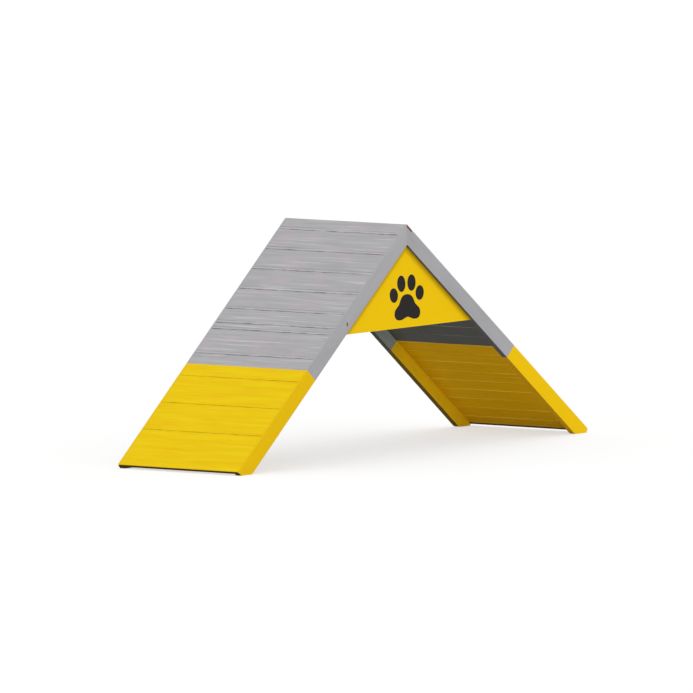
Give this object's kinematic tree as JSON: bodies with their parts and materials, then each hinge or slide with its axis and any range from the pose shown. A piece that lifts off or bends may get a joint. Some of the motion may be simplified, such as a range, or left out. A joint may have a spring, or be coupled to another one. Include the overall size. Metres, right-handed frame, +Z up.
{
  "type": "dog agility ramp",
  "caption": "Free-standing A-frame dog ramp: two boarded slopes on timber side rails, closed by a triangular panel with a paw inlay on each side.",
  "frame": {"origin": "on the ground under the ridge, midway between the two side frames", "axes": "+X along the ramps towards the right ramp's foot, +Y across them from the near side to the far side, +Z up"},
  "size_m": [2.54, 0.91, 1.2035],
  "materials": {
    "rail_paint": "satin paint over sawn timber, grey above the paint line and yellow below it",
    "grey_deck": "worn matt grey anti-slip paint over timber boards",
    "line_deck": "matt paint over a timber board, grey above the paint line and yellow below it",
    "yellow_deck": "matt yellow anti-slip paint over timber boards",
    "bare_timber": "planed and unpainted",
    "yellow_panel": "fine-textured yellow HDPE sheet",
    "black_inlay": "fine-textured black HDPE sheet",
    "zinc_steel": "zinc plated",
    "red_paint": "dark red paint over hardwood",
    "painted_screws": "steel screw heads painted over with the surface round them"
  },
  "bodies": {
    "root": {"rail_left_near": "rail_paint", "rail_left_far": "rail_paint", "rail_right_near": "rail_paint", "rail_right_far": "rail_paint", "board_left_01": "grey_deck", "board_left_02": "grey_deck", "board_left_03": "grey_deck", "board_left_04": "grey_deck", "board_left_05": "grey_deck", "board_left_06": "grey_deck", "board_left_07": "grey_deck", "board_left_08": "grey_deck", "board_left_09": "line_deck", "board_left_10": "yellow_deck", "board_left_11": "yellow_deck", "board_left_12": "yellow_deck", "board_right_01": "grey_deck", "board_right_02": "grey_deck", "board_right_03": "grey_deck", "board_right_04": "grey_deck", "board_right_05": "grey_deck", "board_right_06": "grey_deck", "board_right_07": "grey_deck", "board_right_08": "grey_deck", "board_right_09": "line_deck", "board_right_10": "yellow_deck", "board_right_11": "yellow_deck", "board_right_12": "yellow_deck", "ridge_beam": "bare_timber", "side_panel_near": "yellow_panel", "side_panel_far": "yellow_panel", "paw_pad_near": "black_inlay", "paw_toe_outer_left_near": "black_inlay", "paw_toe_outer_right_near": "black_inlay", "paw_toe_inner_left_near": "black_inlay", "paw_toe_inner_right_near": "black_inlay", "paw_pad_far": "black_inlay", "paw_toe_outer_left_far": "black_inlay", "paw_toe_outer_right_far": "black_inlay", "paw_toe_inner_left_far": "black_inlay", "paw_toe_inner_right_far": "black_inlay", "head_bolt_near": "zinc_steel", "head_nut_near": "zinc_steel", "head_washer_left_near": "zinc_steel", "head_washer_right_near": "zinc_steel", "head_bolt_far": "zinc_steel", "head_nut_far": "zinc_steel", "head_washer_left_far": "zinc_steel", "head_washer_right_far": "zinc_steel", "ridge_key_near": "red_paint", "panel_dowel_near": "red_paint", "ridge_key_far": "red_paint", "panel_dowel_far": "red_paint"}
  },
  "joints": []
}
